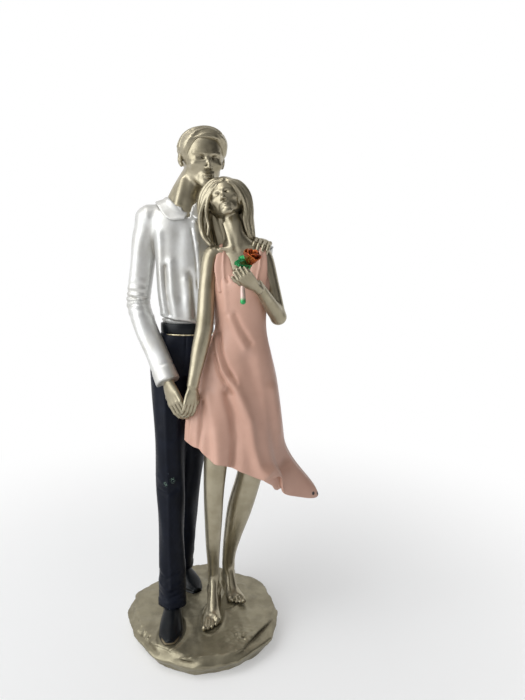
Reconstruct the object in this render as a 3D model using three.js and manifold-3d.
// Couple figurine in painted cast resin: a man and a woman stand close together on a slab of rock.
// Millimetres, +Z up. The couple faces -Y. Figures are modelled with the top of the slab at z = 0,
// and the whole group is lifted so that the origin is the middle of the felt's underside.

import * as THREE from "three";
import { mergeVertices } from "three/addons/utils/BufferGeometryUtils.js";
import Module from "manifold-3d";

const wasm = await Module();
wasm.setup();

const V = (x, y, z) => new THREE.Vector3(x, y, z);
const TURN = 2 * Math.PI;
const DEGREE = Math.PI / 180;

// Slab and felt
const SLAB_RADIUS = 48;
const SLAB_THICKNESS = 11;
const SLAB_ROUNDING = 1.6;
const FELT_THICKNESS = 1;
const FELT_INSET = 6;
const GLUE_FILM = 0.05;

// Seams between castings, and the pegs under the feet
const SEAM = 0.3;
const PEG_RADIUS = 1.6;
const PEG_LENGTH = 5;

// Triangles that cutting leaves: edges shorter than this are closed up, and flatter ones are turned.
const LEAST_EDGE = 0.14;
const LEAST_HEIGHT = 0.03;

// Heads and hands
const MAN_HEAD_HEIGHT = 32.4;
const WOMAN_HEAD_HEIGHT = 23;
const MAN_HAND_LENGTH = 25;
const WOMAN_HAND_LENGTH = 22;
const HAIR_THICKNESS = 1.7;

// Clothes
const WAIST_HALF_WIDTH = 14.2;
const WAIST_HALF_DEPTH = 9.8;
const BELT_HEIGHT = 6.6;
const BELT_THICKNESS = 1.2;
const COLLAR_WIDTH = 7.6;
const CLOTH_THICKNESS = 1.3;
const HEM_RECESS = 5;
const TAIL_LENGTH = 20;
const TAIL_DROOP = 6;

// Rose
const BLOOM_RADIUS = 4.4;
const BLOOM_HEIGHT = 8.5;
const PETAL_THICKNESS = 0.8;
const STEM_RADIUS = 1.2;
const LEAF_LENGTH = 7.5;

// Joints of the two bodies. Everything over the hips rises with HIP_HEIGHT, and the legs stretch with it.
const HIP_HEIGHT = 160;
const fromHips = (x, y, rise) => V(x, y, HIP_HEIGHT + rise);
const downLeg = (x, y, share) => V(x, y, HIP_HEIGHT * share);
const MAN_WAIST = fromHips(-7.2, 8.6, 20);
const MAN_NECK = fromHips(-7, 9.6, 87);
const MAN_HEAD = fromHips(3.5, 9, 112);
const MAN_SHOULDER_R = fromHips(-28, 9.3, 78.6);
const MAN_ELBOW_R = fromHips(-35.2, 7, 28.5);
const MAN_WRIST_R = fromHips(-15.9, -12, -12);
const MAN_SHOULDER_L = fromHips(14, 15.5, 78.5);
const MAN_ELBOW_L = fromHips(36, 27, 39);
const MAN_WRIST_L = fromHips(38.6, 12, 63.4);
const MAN_HIP_R = fromHips(-17.6, 8, 0);
const MAN_KNEE_R = downLeg(-18.4, 1, 0.5125);
const MAN_ANKLE_R = V(-17.4, -9, 9);
const MAN_TOE_R = V(-14.8, -37, 0);
const MAN_HIP_L = fromHips(-2, 12, 0);
const MAN_KNEE_L = downLeg(-9.6, 20, 0.525);
const MAN_ANKLE_L = V(-18.6, 32, 9);
const MAN_TOE_L = V(-4.6, 12, 0);
const WOMAN_WAIST = fromHips(25.2, -3.6, 16);
const WOMAN_NECK = fromHips(22.6, -5.2, 66);
const WOMAN_HEAD = fromHips(17.4, -3.2, 88.2);
const WOMAN_SHOULDER_R = fromHips(9.6, -6, 57.8);
const WOMAN_ELBOW_R = fromHips(5.4, -12.5, 20);
const WOMAN_WRIST_R = fromHips(-1, -18.5, -13);
const WOMAN_SHOULDER_L = fromHips(37.8, -3, 57.4);
const WOMAN_ELBOW_L = fromHips(46.8, -6.5, 23.5);
const WOMAN_WRIST_L = fromHips(35.2, -24, 42.4);
const WOMAN_ANKLE_R = V(6.8, 3, 14);
const WOMAN_TOE_R = V(7.8, -25.5, 0);
const WOMAN_ANKLE_L = V(14.6, 20, 14);
const WOMAN_TOE_L = V(22, -1, 0);

// Resin, paint and felt
const paint = (color, roughness, metalness) =>
  new THREE.MeshStandardMaterial({ color, roughness, metalness });
const champagne = paint(0xb4aa92, 0.34, 0.9);
const white = paint(0xd9d7d2, 0.6, 0);
const navy = paint(0x1b2130, 0.5, 0);
const black = paint(0x0b0f14, 0.32, 0);
const peach = paint(0xd8a48e, 0.62, 0);
const red = paint(0xa63c14, 0.25, 0.6);
const green = paint(0x1f8a45, 0.25, 0.5);
const felt = paint(0x20231f, 0.95, 0);

// Numbers and curves

const mix = (a, b, t) => a + (b - a) * t;
const clamp = (x, low = 0, high = 1) => Math.min(Math.max(x, low), high);
const bump = (x, centre, width) => Math.exp(-(((x - centre) / width) ** 2));

function ease(x, from = 0, to = 1) {
  const t = clamp((x - from) / (to - from));
  return t * t * (3 - 2 * t);
}

// The signed way round from one angle to another, from -PI to PI.
const awayFrom = (angle, centre) => Math.atan2(Math.sin(angle - centre), Math.cos(angle - centre));
const angleBump = (angle, centre, width) => Math.exp(-((awayFrom(angle, centre) / width) ** 2));

const between = (a, b, t) => a.clone().lerp(b, t);
const station = (p, width, depth) => [p.x, p.y, p.z, width, depth];
const spline = (points) => new THREE.CatmullRomCurve3(points, false, "catmullrom", 0.5);

// Meshes and solids

function geometryOf(points, index) {
  const geometry = new THREE.BufferGeometry().setFromPoints(points);
  let volume = 0;
  for (let i = 0; i < index.length; i += 3) {
    const [a, b, c] = [points[index[i]], points[index[i + 1]], points[index[i + 2]]];
    volume += a.dot(b.clone().cross(c));
  }
  geometry.setIndex(volume < 0 ? index.slice().reverse() : index);
  return geometry;
}

// A closed surface through rings of points. The first and last ring are single points.
function skin(rings, sides, pointOn) {
  const inner = rings.slice(1, -1);
  const points = [pointOn(rings[0], 0)];
  for (const ring of inner)
    for (let i = 0; i < sides; i++) points.push(pointOn(ring, (i / sides) * TURN));
  points.push(pointOn(rings[rings.length - 1], 0));
  const last = points.length - 1;
  const id = (ring, i) => 1 + ring * sides + (i % sides);
  const index = [];
  for (let i = 0; i < sides; i++) {
    index.push(0, id(0, i + 1), id(0, i));
    index.push(last, id(inner.length - 1, i), id(inner.length - 1, i + 1));
    for (let r = 0; r + 1 < inner.length; r++) {
      index.push(id(r, i), id(r, i + 1), id(r + 1, i));
      index.push(id(r + 1, i), id(r, i + 1), id(r + 1, i + 1));
    }
  }
  return geometryOf(points, index);
}

// A sheet of even thickness whose middle surface is pointAt(u, v), both from 0 to 1.
function sheet(columns, rows, thickness, pointAt) {
  const nudge = 0.01;
  const normalAt = (u, v) => {
    const du = pointAt(u + nudge, v).sub(pointAt(u - nudge, v));
    const dv = pointAt(u, v + nudge).sub(pointAt(u, v - nudge));
    return du.cross(dv).normalize();
  };
  const points = [];
  for (const side of [0.5, -0.5])
    for (let r = 0; r <= rows; r++)
      for (let c = 0; c <= columns; c++) {
        const [u, v] = [c / columns, r / rows];
        points.push(pointAt(u, v).addScaledVector(normalAt(u, v), side * thickness));
      }
  const back = (rows + 1) * (columns + 1);
  const id = (r, c) => r * (columns + 1) + c;
  const index = [];
  for (let r = 0; r < rows; r++)
    for (let c = 0; c < columns; c++) {
      const [p, q, s, t] = [id(r, c), id(r, c + 1), id(r + 1, c), id(r + 1, c + 1)];
      index.push(p, q, s, s, q, t);
      index.push(back + q, back + p, back + s, back + q, back + s, back + t);
    }
  const rim = (p, q) => index.push(q, p, back + p, q, back + p, back + q);
  for (let c = 0; c < columns; c++) {
    rim(id(0, c), id(0, c + 1));
    rim(id(rows, c + 1), id(rows, c));
  }
  for (let r = 0; r < rows; r++) {
    rim(id(r + 1, 0), id(r, 0));
    rim(id(r, columns), id(r + 1, columns));
  }
  return geometryOf(points, index);
}

function solidOf(geometry) {
  const bare = geometry.clone();
  bare.deleteAttribute("normal");
  bare.deleteAttribute("uv");
  const merged = mergeVertices(bare, 1e-4);
  return new wasm.Manifold(
    new wasm.Mesh({
      numProp: 3,
      vertProperties: new Float32Array(merged.attributes.position.array),
      triVerts: new Uint32Array(merged.index.array),
    }),
  );
}

// The same surface moved outwards, for cutting a neighbour with room to spare.
function grown(geometry, by) {
  const copy = geometry.clone();
  copy.deleteAttribute("uv");
  copy.deleteAttribute("normal");
  const merged = mergeVertices(copy, 1e-4);
  merged.computeVertexNormals();
  const { position, normal } = merged.attributes;
  for (let i = 0; i < position.count; i++)
    position.setXYZ(
      i,
      position.getX(i) + by * normal.getX(i),
      position.getY(i) + by * normal.getY(i),
      position.getZ(i) + by * normal.getZ(i),
    );
  return merged;
}

// A form is a function of its growth in millimetres that returns a solid.
const form = (geometry) => (grow) => solidOf(grow ? grown(geometry, grow) : geometry);
const join = (...forms) => (grow) => forms.map((f) => f(grow)).reduce((a, b) => a.add(b));
const carve = (body, ...tools) => (grow) => tools.reduce((s, t) => s.subtract(t(-grow)), body(grow));

// A limb through stations of [x, y, z, half width, half depth], with rounded ends. The width is square
// to the limb and to "front". "shape" scales the section by its place along and round the limb. A limb
// with a tight bend is made of two that meet there, since the inside of the bend would cross itself.
function limb(stations, options = {}) {
  const { sides = 10, rings = 8, front = V(0, -1, 0), shape = () => 1, round = 1, caps = 2 } = options;
  const { endRound = round } = options;
  const centres = spline(stations.map(([x, y, z]) => V(x, y, z)));
  const sizes = spline(stations.map(([, , , width, depth]) => V(width, depth, 0)));
  const cap = Array.from({ length: caps }, (_, i) => (1 - i / (caps + 0.2)) * (Math.PI / 2));
  const list = cap.map((angle) => ({ t: 0, reach: -Math.sin(angle), scale: Math.cos(angle) }));
  for (let i = 0; i < rings; i++) list.push({ t: i / (rings - 1), reach: 0, scale: 1 });
  for (const angle of cap.slice().reverse())
    list.push({ t: 1, reach: Math.sin(angle), scale: Math.cos(angle) });
  return skin(list, sides, ({ t, reach, scale }, angle) => {
    const along = centres.getTangent(t);
    const bulge = reach < 0 ? round : endRound;
    const across = along.clone().cross(front).normalize();
    const forward = across.clone().cross(along).normalize();
    const size = sizes.getPoint(t);
    const swell = scale * shape(t, angle);
    return centres
      .getPoint(t)
      .addScaledVector(along, reach * bulge * Math.min(size.x, size.y))
      .addScaledVector(across, Math.cos(angle) * size.x * swell)
      .addScaledVector(forward, Math.sin(angle) * size.y * swell);
  });
}

// Distances to soft shapes, negative inside, for casting heads

const egg = (centre, radii) => (p) => {
  const q = p.clone().sub(centre);
  const k = q.clone().divide(radii).length();
  const slope = q.divide(radii).divide(radii).length();
  return slope > 1e-9 ? (k * (k - 1)) / slope : -Math.min(radii.x, radii.y, radii.z);
};

const bar = (a, b, startRadius, endRadius = startRadius) => (p) => {
  const line = b.clone().sub(a);
  const t = clamp(p.clone().sub(a).dot(line) / line.lengthSq());
  return p.distanceTo(a.clone().addScaledVector(line, t)) - mix(startRadius, endRadius, t);
};

const softMin = (a, b, soft) => {
  const h = clamp(0.5 + (0.5 * (b - a)) / soft);
  return mix(b, a, h) - soft * h * (1 - h);
};
const melt = (soft, ...shapes) => (p) => shapes.map((s) => s(p)).reduce((a, b) => softMin(a, b, soft));
const press = (soft, body, ...tools) => (p) =>
  tools.map((s) => s(p)).reduce((a, b) => -softMin(-a, b, soft), body(p));
const both = (make) => [-1, 1].map(make);

// The surface that a soft shape shows to rays from the origin. Rays crowd towards -Y, where the face is.
function cast(shape, { rings = 26, sides = 28, crowd = 0.55, reach = 0.9 } = {}) {
  const radiusAlong = (direction) => {
    const at = (r) => shape(direction.clone().multiplyScalar(r));
    let [inside, outside] = [0.05, reach];
    for (let i = 0; i < 14; i++) {
      const middle = (inside + outside) / 2;
      if (at(middle) < 0) inside = middle;
      else outside = middle;
    }
    return inside;
  };
  const list = Array.from({ length: rings }, (_, i) => (i / (rings - 1)) * Math.PI);
  return skin(list, sides, (down, around) => {
    const turn = around + crowd * Math.sin(around) - Math.PI / 2;
    const fall = down + 0.25 * Math.sin(2 * down) * 0.4;
    const level = Math.sin(fall);
    const direction = V(level * Math.cos(turn + Math.PI), level * Math.sin(turn + Math.PI), Math.cos(fall));
    return direction.multiplyScalar(radiusAlong(direction));
  });
}

// Heads. Head space has the chin at z = -0.5, the crown at 0.5 and the face towards -Y.

const cranium = egg(V(0, 0.04, 0.13), V(0.335, 0.42, 0.37));

function face({ jawWidth, noseLength, lipFullness }) {
  const skull = melt(
    0.09,
    cranium,
    egg(V(0, -0.11, -0.08), V(0.265, 0.27, 0.3)),
    bar(V(0, -0.29, -0.4), V(0, -0.31, -0.425), 0.08, 0.072),
    ...both((side) => bar(V(side * jawWidth, -0.02, -0.24), V(side * 0.05, -0.29, -0.42), 0.075, 0.062)),
  );
  const cheeks = both((side) => egg(V(side * 0.172, -0.235, -0.1), V(0.1, 0.095, 0.085)));
  const brow = bar(V(-0.16, -0.325, 0.07), V(0.16, -0.325, 0.07), 0.034);
  const muzzle = egg(V(0, -0.285, -0.29), V(0.125, 0.1, 0.1));
  const sockets = both((side) => egg(V(side * 0.125, -0.43, 0), V(0.08, 0.09, 0.05)));
  const eyes = both((side) => egg(V(side * 0.122, -0.275, 0), V(0.07, 0.072, 0.06)));
  const nose = melt(
    0.03,
    bar(V(0, -0.335, 0.035), V(0, -0.335 - noseLength, -0.155), 0.028, 0.036),
    ...both((side) => egg(V(side * 0.04, -0.3 - noseLength, -0.178), V(0.03, 0.04, 0.026))),
  );
  const lips = melt(
    0.015,
    egg(V(0, -0.374, -0.287), V(0.075, 0.026, lipFullness)),
    egg(V(0, -0.37, -0.33), V(0.06, 0.028, lipFullness)),
  );
  const head = press(0.04, melt(0.05, skull, ...cheeks, brow, muzzle), ...sockets);
  return melt(0.025, melt(0.03, head, ...eyes), nose, lips);
}

const ears = both((side) => egg(V(side * 0.325, 0.05, -0.03), V(0.04, 0.075, 0.11)));
const manFace = melt(0.03, face({ jawWidth: 0.21, noseLength: 0.098, lipFullness: 0.018 }), ...ears);
const womanFace = face({ jawWidth: 0.18, noseLength: 0.086, lipFullness: 0.021 });

// Turns head space into the figure's: nod about X, turn about Z, then tilt about Y.
function headPose(centre, height, breadth, { nod, turn, tilt }) {
  const about = (x, y, z, degrees) =>
    new THREE.Quaternion().setFromAxisAngle(V(x, y, z), degrees * DEGREE);
  const rotation = about(0, 1, 0, tilt).multiply(about(0, 0, 1, turn)).multiply(about(1, 0, 0, nod));
  return new THREE.Matrix4().compose(centre, rotation, V(breadth * height, height, height));
}

const manPose = headPose(MAN_HEAD, MAN_HEAD_HEIGHT, 1.13, { nod: 2, turn: 16, tilt: 13 });
const womanPose = headPose(WOMAN_HEAD, WOMAN_HEAD_HEIGHT, 1.1, { nod: -24, turn: -4, tilt: -17 });

const placed = (geometry, pose) => geometry.clone().applyMatrix4(pose);

// How far hair covers the head: 1 under hair, 0 on the face. "line" gives the height of the hairline
// for an angle from the front.
function covered(p, line) {
  const fromFront = Math.abs(Math.atan2(p.x, -p.y));
  return ease(p.z - line(fromFront), -0.03, 0.03);
}

const manHairline = (a) => mix(mix(0.29, -0.02, ease(a, 0.35, 1.35)), -0.27, ease(a, 1.7, 2.4));
const womanHairline = (a) => mix(0.27, -0.3, ease(a, 0.3, 1.25));

// Hair as a thicker skull, ribbed by locks, that sinks under the skin where the face is bare.
function hairCap(skull, thickness, line, locks) {
  return (p) => {
    const cover = covered(p, line);
    return skull(p) + 0.05 * (1 - cover) - thickness * cover * (1 + 0.25 * locks(p));
  };
}

function manHeadForm() {
  const neck = limb([
    station(MAN_NECK.clone().add(V(7.6, 2.4, 16)), 7.4, 8.2),
    station(MAN_NECK.clone().add(V(3.6, 1.4, 10)), 7.8, 8.2),
    station(MAN_NECK.clone().add(V(0.8, 0.4, 4.4)), 8, 8.2),
    station(MAN_NECK.clone().add(V(0, 0, -1)), 8.4, 8.4),
    station(MAN_NECK.clone().add(V(0, 0, -7)), 6.5, 6.5),
  ], { rings: 5, sides: 10 });
  return join(form(placed(cast(manFace, { rings: 17, sides: 20, crowd: 0.7 }), manPose)), form(neck));
}

function manHairForm() {
  const locks = (p) => Math.sin(20 * p.x + 8 * p.y + 8 * p.z);
  const shape = hairCap(cranium, HAIR_THICKNESS / MAN_HEAD_HEIGHT, manHairline, locks);
  return form(placed(cast(shape, { rings: 12, sides: 20, crowd: 0.2 }), manPose));
}

// The woman's head, neck and bare shoulders
function womanHeadForm() {
  const bust = limb([
    station(WOMAN_NECK.clone().add(V(-3, 3.2, 15)), 4.8, 5.4),
    station(WOMAN_NECK.clone().add(V(-1.4, 1.4, 9)), 5.2, 5.4),
    station(WOMAN_NECK.clone().add(V(0, 0.4, 3)), 5.8, 5.8),
    station(WOMAN_NECK.clone().add(V(1, 0.8, -2.2)), 9.6, 6.6),
    station(WOMAN_NECK.clone().add(V(1.8, 1.2, -6.8)), 14.6, 7.4),
    station(WOMAN_NECK.clone().add(V(2.6, 1, -14)), 13, 8),
    station(WOMAN_NECK.clone().add(V(2.8, 0.8, -19)), 11.5, 7.5),
  ], { rings: 8, sides: 11, round: 0.4 });
  return join(form(placed(cast(womanFace, { rings: 16, sides: 18, crowd: 0.7 }), womanPose)), form(bust));
}

function womanHairForm() {
  const locks = (p) => Math.sin(11 * Math.atan2(p.x, p.z + 0.2));
  const skull = melt(0.1, cranium, egg(V(0, 0.1, -0.1), V(0.3, 0.3, 0.3)));
  const shape = hairCap(skull, HAIR_THICKNESS / WOMAN_HEAD_HEIGHT, womanHairline, locks);
  const cap = placed(cast(shape, { rings: 11, sides: 18, crowd: 0.2 }), womanPose);
  const strands = (t, angle) => 1 + 0.05 * Math.sin(5 * angle);
  const curtain = limb([
    station(WOMAN_HEAD.clone().add(V(-0.6, 4.6, 4)), 11.6, 7),
    station(WOMAN_HEAD.clone().add(V(-0.4, 7, -6)), 13.4, 5.6),
    station(WOMAN_HEAD.clone().add(V(0.4, 7.4, -17)), 13.8, 4.8),
    station(WOMAN_HEAD.clone().add(V(2, 7.4, -29)), 12.6, 4.2),
    station(WOMAN_HEAD.clone().add(V(3, 7.8, -37)), 8.5, 3),
  ], { rings: 6, sides: 12, shape: strands });
  const lock = limb([
    station(WOMAN_HEAD.clone().add(V(-9.6, -4, 3)), 3, 3.4),
    station(WOMAN_HEAD.clone().add(V(-11.6, -3.5, -6)), 2.6, 3.6),
    station(WOMAN_HEAD.clone().add(V(-11, -3.5, -16)), 2.8, 3.2),
    station(WOMAN_HEAD.clone().add(V(-7.4, -5.5, -24)), 2.5, 2.4),
    station(WOMAN_HEAD.clone().add(V(-4.6, -8.6, -29.5)), 1.5, 1.4),
  ], { rings: 7, sides: 7 });
  return join(form(cap), form(curtain), form(lock));
}

// A hand from the wrist along "along", its back facing "back". "curl" bends the three finger joints.
function handForm({ wrist, along, back, length, thumb, curl, plug = 0.3 }) {
  const ahead = along.clone().normalize();
  const side = back.clone().cross(ahead).normalize().multiplyScalar(thumb);
  const top = ahead.clone().cross(side).normalize().multiplyScalar(thumb);
  const at = (a, b, c) =>
    wrist.clone().addScaledVector(ahead, a * length).addScaledVector(side, b * length)
      .addScaledVector(top, c * length);
  const palm = limb([
    station(at(-plug, 0, 0), 0.12 * length, 0.095 * length),
    station(at(0, 0, 0), 0.12 * length, 0.09 * length),
    station(at(0.25, 0.01, 0), 0.19 * length, 0.085 * length),
    station(at(0.48, 0, -0.01), 0.2 * length, 0.07 * length),
  ], { sides: 7, rings: 3, front: top, round: 0.6 });
  const fingers = [0.4, 0.45, 0.42, 0.33].map((reach, i) => {
    const across = (1.5 - i) * 0.1;
    const joints = [at(0.4, across * 0.92, -0.01), at(0.5, across, 0)];
    let bend = 0;
    [0.45, 0.3, 0.25].forEach((share, joint) => {
      bend += curl[joint] * DEGREE;
      const from = joints[joints.length - 1];
      joints.push(from.clone()
        .addScaledVector(ahead, Math.cos(bend) * share * reach * length)
        .addScaledVector(top, -Math.sin(bend) * share * reach * length));
    });
    const radii = [0.045, 0.05, 0.047, 0.043, 0.036].map((share) => share * length);
    const stations = joints.map((p, joint) => station(p, radii[joint], radii[joint]));
    return form(limb(stations, { sides: 5, rings: 4, front: side, round: 0.9, caps: 1 }));
  });
  const thumbForm = limb([
    station(at(0.08, 0.1, -0.02), 0.07 * length, 0.07 * length),
    station(at(0.3, 0.24, -0.07), 0.06 * length, 0.055 * length),
    station(at(0.5, 0.26, -0.1), 0.045 * length, 0.045 * length),
  ], { sides: 5, rings: 3, front: top, caps: 1 });
  return join(form(palm), form(thumbForm), ...fingers);
}

const manRightHand = handForm({
  wrist: MAN_WRIST_R, along: V(0.36, -0.26, -0.9), back: V(-0.55, -0.8, 0), length: MAN_HAND_LENGTH,
  thumb: -1, curl: [14, 22, 24],
});
const manLeftHand = handForm({
  wrist: MAN_WRIST_L, along: V(-0.12, -0.98, 0.12), back: V(0.35, 0.1, 0.95), length: MAN_HAND_LENGTH,
  thumb: -1, curl: [34, 36, 30],
});

// Feet and shoes stand just over the slab, each on a peg.

function pegAt(p) {
  const overlap = 3;
  const length = PEG_LENGTH + overlap;
  return form(new THREE.CylinderGeometry(PEG_RADIUS, PEG_RADIUS, length, 12)
    .rotateX(Math.PI / 2)
    .translate(p.x, p.y, overlap - length / 2));
}

function grounded(geometry) {
  const { position } = geometry.attributes;
  for (let i = 0; i < position.count; i++)
    position.setZ(i, Math.max(position.getZ(i), SEAM));
  return form(geometry);
}

// Points along a sole: 0 behind the ankle, 1 at the toe.
const soleLine = (ankle, toe, heelShare) => (t, z) => {
  const heel = V(mix(toe.x, ankle.x, heelShare), mix(toe.y, ankle.y, heelShare), 0);
  return V(mix(heel.x, toe.x, t), mix(heel.y, toe.y, t), z);
};

function shoeForm(ankle, toe) {
  const sole = soleLine(ankle, toe, 1.3);
  const upper = limb([
    station(sole(0.1, 3.6), 5.4, 4.6),
    station(sole(0.32, 4.6), 5.6, 5.8),
    station(sole(0.55, 3.4), 6.7, 5.2),
    station(sole(0.76, 2.2), 6.8, 3.8),
    station(sole(0.94, 1.6), 4, 2.4),
  ], { rings: 7, sides: 11, front: V(0, 0, 1), round: 0.8 });
  const leg = limb([
    station(sole(0.24, 3), 5, 5.4),
    station(ankle.clone().setZ(13), 5, 5.2),
  ], { rings: 2, sides: 8, caps: 1 });
  return join(grounded(upper), grounded(leg), pegAt(sole(0.3, 0)));
}

function legForm(stations, ankle, toe, bigToe) {
  const sole = soleLine(ankle, toe, 1.18);
  const sideways = toe.clone().sub(ankle).setZ(0).normalize().cross(V(0, 0, bigToe));
  const foot = limb([
    station(sole(0.06, 3.4), 3.6, 3.6),
    station(sole(0.3, 4.6), 3.9, 5),
    station(sole(0.55, 3.4), 5, 3.8),
    station(sole(0.8, 1.9), 5.8, 2.3),
  ], { rings: 5, sides: 9, front: V(0, 0, 1), round: 0.7 });
  const toes = [1.5, 1.15, 1.05, 0.95, 0.85].map((radius, i) => {
    const across = 4.1 - 2.1 * i;
    const tip = 0.96 - 0.012 * i * i;
    return grounded(limb([
      station(sole(0.78, 2).addScaledVector(sideways, across * 0.9), radius, radius),
      station(sole(tip, radius + 0.3).addScaledVector(sideways, across), radius, radius),
    ], { rings: 2, sides: 5, front: V(0, 0, 1), caps: 1 }));
  });
  const shin = limb(stations, { rings: 8, sides: 9 });
  return join(grounded(shin), grounded(foot), ...toes, pegAt(sole(0.25, 0)));
}

const womanRightLeg = legForm([
  station(downLeg(11, -4, 0.675), 7.4, 7.8),
  station(downLeg(9.8, -4.6, 0.606), 7.1, 7.4),
  station(downLeg(8.5, -5, 0.494), 6.1, 6.5),
  station(downLeg(7.9, -4, 0.3875), 5.4, 5.9),
  station(downLeg(7.2, -2, 0.2625), 4.4, 4.9),
  station(downLeg(6.9, 1, 0.1625), 3.6, 4.1),
  station(WOMAN_ANKLE_R.clone().setZ(8), 3.5, 4),
], WOMAN_ANKLE_R, WOMAN_TOE_R, 1);

const womanLeftLeg = legForm([
  station(downLeg(31.2, 4.6, 0.6), 8, 8.2),
  station(downLeg(29.4, 6, 0.525), 7.8, 8),
  station(downLeg(23.4, 9.5, 0.3875), 7.8, 7.8),
  station(downLeg(18.6, 13, 0.2625), 5.8, 6.2),
  station(downLeg(15.6, 17, 0.156), 4.3, 4.8),
  station(WOMAN_ANKLE_L.clone().setZ(8), 3.8, 4.2),
], WOMAN_ANKLE_L, WOMAN_TOE_L, -1);

// The woman's bare arms

function womanRightArmForm() {
  const arm = limb([
    station(WOMAN_SHOULDER_R.clone().add(V(5, 0.6, 0.6)), 4, 5),
    station(WOMAN_SHOULDER_R, 5, 5.4),
    station(between(WOMAN_SHOULDER_R, WOMAN_ELBOW_R, 0.4).add(V(-0.9, 0.4, 0)), 4.7, 4.7),
    station(WOMAN_ELBOW_R, 4.8, 4.7),
    station(between(WOMAN_ELBOW_R, WOMAN_WRIST_R, 0.4), 4.6, 4.3),
    station(between(WOMAN_ELBOW_R, WOMAN_WRIST_R, 0.75), 3.7, 3.5),
    station(WOMAN_WRIST_R, 3.2, 3),
  ], { rings: 10, sides: 9 });
  const hand = handForm({
    wrist: WOMAN_WRIST_R, along: V(-0.14, -0.12, -0.98), back: V(0.6, -0.8, 0),
    length: WOMAN_HAND_LENGTH, thumb: 1, curl: [10, 24, 26], plug: 0.1,
  });
  return join(form(arm), hand);
}

function womanLeftArmForm() {
  const front = V(0.6, -0.2, 0.8);
  const upper = limb([
    station(WOMAN_SHOULDER_L.clone().add(V(-5, 0.6, 0.6)), 4, 5),
    station(WOMAN_SHOULDER_L, 5, 5.4),
    station(between(WOMAN_SHOULDER_L, WOMAN_ELBOW_L, 0.5).add(V(0.4, 0, 0)), 4.3, 4.7),
    station(WOMAN_ELBOW_L, 4.2, 4.3),
  ], { rings: 7, sides: 8, front });
  const lower = limb([
    station(WOMAN_ELBOW_L, 4.2, 4.3),
    station(between(WOMAN_ELBOW_L, WOMAN_WRIST_L, 0.3), 4.3, 4.2),
    station(between(WOMAN_ELBOW_L, WOMAN_WRIST_L, 0.7), 3.6, 3.4),
    station(WOMAN_WRIST_L, 3, 2.8),
  ], { rings: 5, sides: 8, front });
  const hand = handForm({
    wrist: WOMAN_WRIST_L, along: V(-0.5, -0.6, 0.5), back: V(0.1, -0.75, -0.62),
    length: WOMAN_HAND_LENGTH, thumb: 1, curl: [50, 62, 50], plug: 0.1,
  });
  return join(form(upper), form(lower), hand);
}

// The dress: bodice, waist and a skirt that the wind draws out into a tail on the woman's left.
// Each row is the middle of the section from the waist, then its half width and half depth.

const dressRows = [
  [-0.2, -0.6, 38, 13.4, 7.4],
  [0.4, -1.4, 33, 15, 9.6],
  [1, -1.9, 25, 16.2, 12.2],
  [0.2, -1, 12, 14.6, 11],
  [0, 0, 0, 14.9, 10.8],
  [-1.6, 1, -13, 19.6, 12.4],
  [-2.2, 2.2, -26, 23.8, 14.2],
  [-2.2, 3.6, -46, 27.4, 16.4],
  [-1.8, 4.6, -66, 30.2, 18],
  [-1.4, 5.2, -80, 31.4, 19],
];
const dressMiddle = spline(dressRows.map(([x, y, z]) => WOMAN_WAIST.clone().add(V(x, y, z))));
const dressSize = spline(dressRows.map(([, , , width, depth]) => V(width, depth, 0)));
const SKIRT_TURN = 12 * DEGREE;
const HEM_SLANT = 0.5;
const SKIRT_FOLDS = [188, 216, 246, 300, 20, 68, 112, 150];

const skirtFolds = (angle) =>
  SKIRT_FOLDS.map((fold) => angleBump(angle, fold * DEGREE, 0.2)).reduce((a, b) => a + b) - 0.45;

// A point of the dress: "t" runs from the neckline to the hem.
function dressPoint(t, angle) {
  const size = dressSize.getPoint(t);
  const loose = ease(t, 0.42, 0.95);
  const swell = 1 + 0.1 * loose * skirtFolds(angle);
  const p = V(size.x * swell * Math.cos(angle), size.y * swell * Math.sin(angle), 0)
    .applyAxisAngle(V(0, 0, 1), SKIRT_TURN * loose);
  const tail = TAIL_LENGTH * ease(t, 0.83, 1) * angleBump(angle, 0, 0.4);
  const droop = TAIL_DROOP * ease(t, 0.75, 1) * angleBump(angle, -0.5, 0.5);
  const shoulders = angleBump(angle, 3.95, 0.45) + angleBump(angle, 5.4, 0.45);
  const neckline = ease(0.08 - t, 0, 0.08) * (5 * shoulders - 5 * angleBump(angle, 4.65, 0.4));
  return dressMiddle.getPoint(t)
    .add(V(p.x + tail, p.y + 0.2 * tail, neckline - HEM_SLANT * loose * p.x - 0.5 * tail - droop));
}

function dressForm() {
  const rows = 12;
  const outer = Array.from({ length: rows }, (_, i) => ({ t: i / (rows - 1), inset: 0, lift: 0 }));
  const body = skin([
    { t: 0, inset: 1, lift: -3 },
    ...outer,
    { t: 1, inset: 0.07, lift: 0.4 },
    { t: 1, inset: 0.14, lift: 0.6 * HEM_RECESS },
    { t: 1, inset: 0.5, lift: HEM_RECESS },
    { t: 1, inset: 1, lift: HEM_RECESS },
  ], 28, ({ t, inset, lift }, angle) => {
    const rim = inset === 1 ? dressMiddle.getPoint(t) : dressPoint(t, angle);
    return rim.lerp(dressMiddle.getPoint(t), inset).add(V(0, 0, lift));
  });
  const strap = (...path) =>
    form(limb(path.map(([x, y, z, width]) => station(WOMAN_NECK.clone().add(V(x, y, z)), 1.4, width)),
      { rings: 6, sides: 6, front: V(1, 0, 0), caps: 1 }));
  return join(
    form(body),
    strap([-5.6, -6.4, -13, 3.6], [-6, -4.6, -7.4, 3], [-6.6, 1.4, -2.6, 2.2], [-5, 7.4, -6, 2.6]),
    strap([11.4, -6.6, -13, 4], [12.6, -4.6, -7, 3.4], [13.2, 1.4, -1, 2.4], [11.4, 7.4, -6, 2.6]),
  );
}

// The man's clothes

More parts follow.
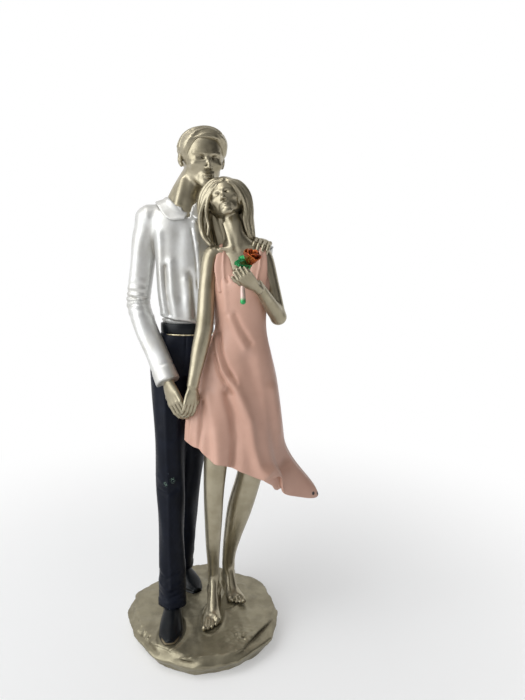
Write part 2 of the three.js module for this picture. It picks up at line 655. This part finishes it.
function shirtForm() {
  const drape = (t, angle) =>
    1 + 0.045 * ease(t, 0.3, 0.8) * Math.sin(7 * angle + 1.2) * angleBump(angle, 4.2, 1.6);
  return form(limb([
    station(MAN_NECK.clone().add(V(0.4, 0, 1.4)), 9, 8.6),
    station(MAN_NECK.clone().add(V(0.8, 0.2, -1.4)), 17.5, 9),
    station(MAN_NECK.clone().add(V(1.8, 0, -7)), 22, 10.6),
    station(MAN_NECK.clone().add(V(3.8, -0.4, -19)), 22.4, 12),
    station(MAN_NECK.clone().add(V(4.4, -1, -33)), 21.8, 12.6),
    station(MAN_NECK.clone().add(V(3.6, -1, -48)), 20.8, 12.2),
    station(MAN_WAIST.clone().add(V(2.8, 0.2, 8)), 19.2, 12.2),
    station(MAN_WAIST.clone().add(V(1.6, 0, 0.6)), 17.2, 11.6),
  ], { rings: 10, sides: 18, front: V(0.3, -1, 0), shape: drape, round: 0.2 }));
}

// A turned-down collar: a sheet that circles the neck, lies on the shoulders and falls to two points.
function collarForm() {
  const throat = -72 * DEGREE;
  const nape = 90 * DEGREE;
  return form(sheet(14, 2, CLOTH_THICKNESS, (u, v) => {
    const opening = mix(3, 12, v) * DEGREE;
    const angle = mix(throat + opening, throat + TURN - opening, u);
    const front = angleBump(angle, throat, 0.95);
    const behind = angleBump(angle, nape, 0.9);
    const inner = 8.4 + SEAM + 0.5 * CLOTH_THICKNESS;
    const sideways = inner + v * COLLAR_WIDTH * (1 - 0.25 * front);
    const depth = inner + v * COLLAR_WIDTH * (1 - 0.6 * front - 0.62 * behind);
    const drop = 2.2 + 2.2 * Math.abs(Math.sin(angle)) + 2.5 * behind;
    return V(sideways * Math.cos(angle), depth * Math.sin(angle), 4.6 - 9.6 * front - v * drop).add(MAN_NECK);
  }));
}

const creases = (at, depth) => (t, angle) =>
  1 - depth * bump(t, at, 0.03) * angleBump(angle, 4.4, 1) + 0.5 * depth * Math.sin(3 * angle + 16 * t);

const manRightShoulder = form(limb([
  station(MAN_SHOULDER_R.clone().add(V(9, 0.4, 2.4)), 6.8, 8),
  station(MAN_SHOULDER_R.clone().add(V(1, 0, 0.6)), 8.2, 9),
], { rings: 2, round: 0.6 }));

const manRightSleeve = join(manRightShoulder, form(limb([
  station(MAN_SHOULDER_R.clone().add(V(0, 0, 0.8)), 8, 9),
  station(MAN_SHOULDER_R.clone().add(V(-0.8, 0.1, -5)), 8, 8.7),
  station(between(MAN_SHOULDER_R, MAN_ELBOW_R, 0.25).add(V(-1.5, 0.5, 0)), 7.4, 8),
  station(between(MAN_SHOULDER_R, MAN_ELBOW_R, 0.55).add(V(-1, 0.6, 0)), 6.9, 7.4),
  station(between(MAN_SHOULDER_R, MAN_ELBOW_R, 0.83).add(V(-0.7, 0.4, 0)), 6.8, 7),
  station(MAN_ELBOW_R, 6.7, 6.8),
  station(between(MAN_ELBOW_R, MAN_WRIST_R, 0.3).add(V(-0.8, 0, -1)), 6.6, 6.6),
  station(between(MAN_ELBOW_R, MAN_WRIST_R, 0.65), 6.4, 6.4),
  station(MAN_WRIST_R, 6.9, 6.2),
], { rings: 14, sides: 11, shape: creases(0.56, 0.04), round: 0.9, endRound: 0.3 })));

const manLeftSleeve = join(form(limb([
  station(MAN_SHOULDER_L.clone().add(V(-8, -1, 1)), 6, 7.6),
  station(MAN_SHOULDER_L, 7.4, 8.2),
  station(between(MAN_SHOULDER_L, MAN_ELBOW_L, 0.3).add(V(0, 2, 2)), 7, 7.4),
  station(between(MAN_SHOULDER_L, MAN_ELBOW_L, 0.7).add(V(0, 1, 1)), 6.4, 6.6),
  station(MAN_ELBOW_L, 6.4, 6.2),
], { rings: 7, round: 0.3, endRound: 0.9 })), form(limb([
  station(MAN_ELBOW_L, 6.4, 6.2),
  station(between(MAN_ELBOW_L, MAN_WRIST_L, 0.5).add(V(0.6, 0, 0)), 6, 5.8),
  station(MAN_WRIST_L, 5.6, 5.4),
], { rings: 4, round: 0.9, endRound: 0.3 })));

function trouserForm() {
  const leg = (hip, knee, ankle, phase) => {
    const breaks = (t, angle) =>
      1 + 0.03 * Math.sin(2 * angle + 22 * t + phase) * ease(t, 0.2, 0.6) + 0.06 * bump(t, 0.96, 0.05);
    return form(limb([
      station(between(hip, MAN_WAIST, 0.7), 6, 8),
      station(hip, 11.4, 11.8),
      station(between(hip, knee, 0.4), 10.4, 10.8),
      station(knee, 8.5, 9.2),
      station(between(knee, ankle, 0.5), 7.7, 8.5),
      station(ankle, 7.8, 8.2),
    ], { rings: 11, sides: 12, shape: breaks, round: 0.25 }));
  };
  const seat = form(limb([
    station(MAN_WAIST.clone().add(V(0, 0, -2)), WAIST_HALF_WIDTH, WAIST_HALF_DEPTH),
    station(MAN_WAIST.clone().add(V(-0.4, 0, -9)), WAIST_HALF_WIDTH + 1, WAIST_HALF_DEPTH + 0.8),
    station(MAN_WAIST.clone().add(V(-1.4, 1.6, -19)), 16.4, 12.6),
    station(MAN_WAIST.clone().add(V(-1.8, 2, -31)), 12, 11),
  ], { rings: 5, sides: 14, round: 0.15 }));
  return join(seat, leg(MAN_HIP_R, MAN_KNEE_R, MAN_ANKLE_R, 0), leg(MAN_HIP_L, MAN_KNEE_L, MAN_ANKLE_L, 2));
}

function beltForm() {
  const oval = (grow) =>
    new THREE.Path().absellipse(0, 0, WAIST_HALF_WIDTH + grow, WAIST_HALF_DEPTH + grow, 0, TURN);
  const outline = new THREE.Shape(oval(BELT_THICKNESS + SEAM).getPoints(16));
  outline.holes.push(oval(-BELT_THICKNESS));
  const band = new THREE.ExtrudeGeometry(outline, {
    depth: BELT_HEIGHT, bevelEnabled: false, curveSegments: 16,
  });
  return form(band.translate(MAN_WAIST.x, MAN_WAIST.y, MAN_WAIST.z - BELT_HEIGHT - 0.4));
}

// The rose that the woman holds to her chest

const roseBase = WOMAN_WRIST_L.clone().add(V(-4.4, -6.8, 10.6));
const roseUp = V(0.34, -0.35, 0.87).normalize();
const stemFoot = WOMAN_WRIST_L.clone().add(V(-7.6, -6.6, -8.5));
const roseTurn = new THREE.Quaternion().setFromUnitVectors(V(0, 0, 1), roseUp);

const onRose = (p) => p.applyQuaternion(roseTurn).add(roseBase);

// The bloom: a closed bud whose edge spirals inwards, inside three open petals.
function bloomForm() {
  const rings = [0, 0.08, 0.3, 0.6, 0.85, 1, 0.9, 0.6];
  const bud = skin(rings.map((height, i) => ({ height, i })), 10, ({ height, i }, angle) => {
    const inside = i > 5 ? 0.5 : 1;
    const spiral = 1 - 0.14 * (angle / TURN) + 0.1 * Math.sin(3 * angle) * height;
    const pole = i === 0 || i === rings.length - 1;
    const out = pole ? 0 : 0.66 * BLOOM_RADIUS * inside * spiral * Math.sin(0.5 + 2.1 * height);
    return onRose(V(out * Math.cos(angle), out * Math.sin(angle), height * BLOOM_HEIGHT));
  });
  const petal = (place) =>
    form(sheet(4, 3, PETAL_THICKNESS, (u, v) => {
      const angle = (place / 3) * TURN + (u - 0.5) * 2.1;
      const out = BLOOM_RADIUS * (0.2 + 0.66 * Math.sin(v * 1.6) + 0.2 * v ** 4);
      const up = 0.86 * BLOOM_HEIGHT * v * (1 - 0.3 * (2 * u - 1) ** 2);
      return onRose(V(out * Math.cos(angle), out * Math.sin(angle), up));
    }));
  return join(form(bud), petal(0), petal(1), petal(2));
}

function leafForm() {
  const leaf = (heading, rise) => {
    const out = V(Math.cos(heading * DEGREE), Math.sin(heading * DEGREE), rise).normalize();
    const across = out.clone().cross(V(0, 0, 1)).normalize();
    return form(sheet(2, 4, PETAL_THICKNESS, (u, v) => {
      const half = 0.3 * LEAF_LENGTH * Math.sin(Math.PI * clamp(0.12 + 0.84 * v)) ** 0.8;
      const side = (2 * u - 1) * half;
      return roseBase.clone().addScaledVector(out, v * LEAF_LENGTH).addScaledVector(across, side)
        .add(V(0, 0, 0.25 * Math.abs(side) - 0.8 * v * v));
    }));
  };
  const calyx = form(new THREE.SphereGeometry(STEM_RADIUS * 1.4, 7, 4).translate(...roseBase.toArray()));
  return join(calyx, leaf(186, 0.15), leaf(232, 0.05), leaf(150, 0.7));
}

const stemForm = form(limb([
  station(roseBase, STEM_RADIUS, STEM_RADIUS),
  station(between(roseBase, stemFoot, 0.5).add(V(-1.6, 0, 0)), STEM_RADIUS, STEM_RADIUS),
  station(stemFoot, 1.25 * STEM_RADIUS, 1.25 * STEM_RADIUS),
], { rings: 5, sides: 7 }));

// The slab of rock and the felt under it

// Reach of the slab's edge for every 30 degrees, as shares of its radius.
const SLAB_REACH = [0.99, 0.94, 0.925, 1, 1, 0.985, 0.99, 0.93, 0.965, 1.02, 1.03, 1.045];
const slabOutline = new THREE.CatmullRomCurve3(SLAB_REACH.map((reach, i) =>
  V(SLAB_RADIUS * reach, 0, 0).applyAxisAngle(V(0, 0, 1), (i / SLAB_REACH.length) * TURN)), true);

// Faces split off the rim: the angle, how far in the split starts, its step down and its slope.
const SPLITS = [
  [186, 3.6, 2.4, 12], [204, 5, 1, 26], [222, 3.4, 2.6, 10], [240, 4.4, 0.6, 40], [262, 2.4, 2.2, 34],
  [283, 4, 0.5, 48], [305, 3, 1.6, 24], [326, 7, 1.8, 8], [348, 4, 0.5, 38], [18, 2.6, 1.4, 44],
  [62, 3.4, 0.6, 42], [104, 2.6, 1.2, 40], [142, 3.6, 0.5, 46],
];

function slabForm() {
  const rings = [
    { share: 0, z: 0 }, { share: 0.5, z: 0 }, { share: 0.95, z: 0 }, { share: 1, z: -SLAB_ROUNDING },
    { share: 0.98, z: -0.5 * SLAB_THICKNESS }, { share: 0.92, z: -SLAB_THICKNESS },
    { share: 0, z: -SLAB_THICKNESS },
  ];
  const body = skin(rings, 34, ({ share, z }, angle) =>
    slabOutline.getPoint(angle / TURN).multiplyScalar(share).setZ(z));
  const block = 4 * SLAB_THICKNESS;
  const splits = SPLITS.map(([angle, inwards, down, slope]) => {
    const rim = slabOutline.getPoint(angle / 360).length();
    return form(new THREE.BoxGeometry(block, 0.7 * block, block)
      .translate(0.5 * block, 0, 0.5 * block)
      .rotateY(slope * DEGREE)
      .translate(rim - inwards, 0, -down)
      .rotateZ(angle * DEGREE));
  });
  return carve(form(body), ...splits);
}

function feltForm() {
  const points = Array.from({ length: 24 }, (_, i) =>
    slabOutline.getPoint(i / 24).multiplyScalar(1 - FELT_INSET / SLAB_RADIUS));
  const pad = new THREE.ExtrudeGeometry(new THREE.Shape(points), {
    depth: FELT_THICKNESS, bevelEnabled: false,
  });
  return form(pad.translate(0, 0, -SLAB_THICKNESS - GLUE_FILM - FELT_THICKNESS));
}

// Assembly. Each casting is cut back from those listed before it, which leaves the seams between them.

const castings = [
  ["man_head", manHeadForm(), champagne],
  ["woman_head", womanHeadForm(), champagne],
  ["rose_stem", stemForm, green],
  ["rose_leaves", leafForm(), green],
  ["rose_bloom", bloomForm(), red],
  ["woman_left_arm", womanLeftArmForm(), champagne],
  ["man_right_hand", manRightHand, champagne],
  ["woman_right_arm", womanRightArmForm(), champagne],
  ["man_left_hand", manLeftHand, champagne],
  ["woman_right_leg", womanRightLeg, champagne],
  ["woman_left_leg", womanLeftLeg, champagne],
  ["man_right_shoe", shoeForm(MAN_ANKLE_R, MAN_TOE_R), black],
  ["man_left_shoe", shoeForm(MAN_ANKLE_L, MAN_TOE_L), black],
  ["woman_dress", dressForm(), peach],
  ["woman_hair", womanHairForm(), champagne],
  ["man_hair", manHairForm(), champagne],
  ["man_collar", collarForm(), white],
  ["man_trousers", trouserForm(), navy],
  ["man_belt", beltForm(), black],
  ["man_shirt", shirtForm(), white],
  ["man_right_sleeve", manRightSleeve, white],
  ["man_left_sleeve", manLeftSleeve, white],
  ["rock_slab", slabForm(), champagne],
];

const boxesMeet = (a, b) =>
  [0, 1, 2].every((axis) => a.min[axis] < b.max[axis] && b.min[axis] < a.max[axis]);

// Draws the short edges of a closed surface together. An edge stays where its going would turn a face over
// or pinch the surface.
function shortEdgesClosed(points, faces) {
  const around = points.map(() => new Set());
  const facesAt = points.map(() => []);
  for (const face of faces)
    face.forEach((v, i) => {
      around[v].add(face[(i + 1) % 3]).add(face[(i + 2) % 3]);
      facesAt[v].push(face);
    });
  const normalOf = ([a, b, c]) =>
    points[b].clone().sub(points[a]).cross(points[c].clone().sub(points[a]));
  const turnsOver = (from, to) => facesAt[from].some((face) =>
    !face.includes(to) && normalOf(face).dot(normalOf(face.map((v) => (v === from ? to : v)))) <= 0);
  const touched = new Set();
  const replacement = new Map();
  for (const face of faces)
    face.forEach((a, i) => {
      const b = face[(i + 1) % 3];
      if (points[a].distanceTo(points[b]) >= LEAST_EDGE || touched.has(a) || touched.has(b)) return;
      if ([...around[a]].filter((v) => around[b].has(v)).length !== 2) return;
      if (turnsOver(b, a)) return;
      replacement.set(b, a);
      for (const v of [a, b, ...around[a], ...around[b]]) touched.add(v);
    });
  return faces
    .map((face) => face.map((v) => replacement.get(v) ?? v))
    .filter(([a, b, c]) => a !== b && b !== c && c !== a);
}

// Turns the long edge of each flat triangle, so that the neighbour across it is split instead.
function flatFacesTurned(points, faces) {
  const turned = faces.slice();
  const owner = new Map();
  const key = (a, b) => a * points.length + b;
  faces.forEach((face, i) => face.forEach((v, j) => owner.set(key(v, face[(j + 1) % 3]), i)));
  const touched = new Set();
  faces.forEach((face, i) => {
    const edges = face.map((v, j) => [v, face[(j + 1) % 3], face[(j + 2) % 3]]);
    const span = ([a, b]) => points[a].distanceTo(points[b]);
    const [a, b, c] = edges.reduce((p, q) => (span(p) > span(q) ? p : q));
    const area = points[b].clone().sub(points[a]).cross(points[c].clone().sub(points[a])).length();
    const other = owner.get(key(b, a));
    const d = faces[other].find((v) => v !== a && v !== b);
    if (area / span([a, b]) >= LEAST_HEIGHT || touched.has(i) || touched.has(other)) return;
    if (owner.has(key(c, d)) || owner.has(key(d, c))) return;
    turned[i] = [a, d, c];
    turned[other] = [d, b, c];
    for (const f of [face, faces[other]])
      f.forEach((v, j) => touched.add(owner.get(key(f[(j + 1) % 3], v))));
    touched.add(i).add(other);
  });
  return turned;
}

function meshOf(name, solid, material) {
  const { vertProperties, triVerts, numProp } = solid.getMesh();
  const points = [];
  for (let i = 0; i < vertProperties.length; i += numProp)
    points.push(V(...vertProperties.subarray(i, i + 3)));
  let faces = [];
  for (let i = 0; i < triVerts.length; i += 3) faces.push([...triVerts.subarray(i, i + 3)]);
  const passes = 12;
  for (let pass = 0; pass < passes; pass++)
    faces = flatFacesTurned(points, shortEdgesClosed(points, faces));
  const geometry = new THREE.BufferGeometry().setFromPoints(points).setIndex(faces.flat());
  geometry.computeVertexNormals();
  const mesh = new THREE.Mesh(geometry, material);
  mesh.name = name;
  return mesh;
}

const couple = new THREE.Group();
couple.position.z = SLAB_THICKNESS + GLUE_FILM + FELT_THICKNESS;
couple.add(meshOf("felt_pad", feltForm()(0), felt));
const cutters = [];
for (const [name, shape, material] of castings) {
  let solid = shape(0);
  for (const cutter of cutters)
    if (boxesMeet(solid.boundingBox(), cutter.boundingBox())) solid = solid.subtract(cutter);
  const largest = solid.decompose().reduce((a, b) => (a.volume() > b.volume() ? a : b));
  couple.add(meshOf(name, largest, material));
  cutters.push(shape(SEAM));
}

export default couple;
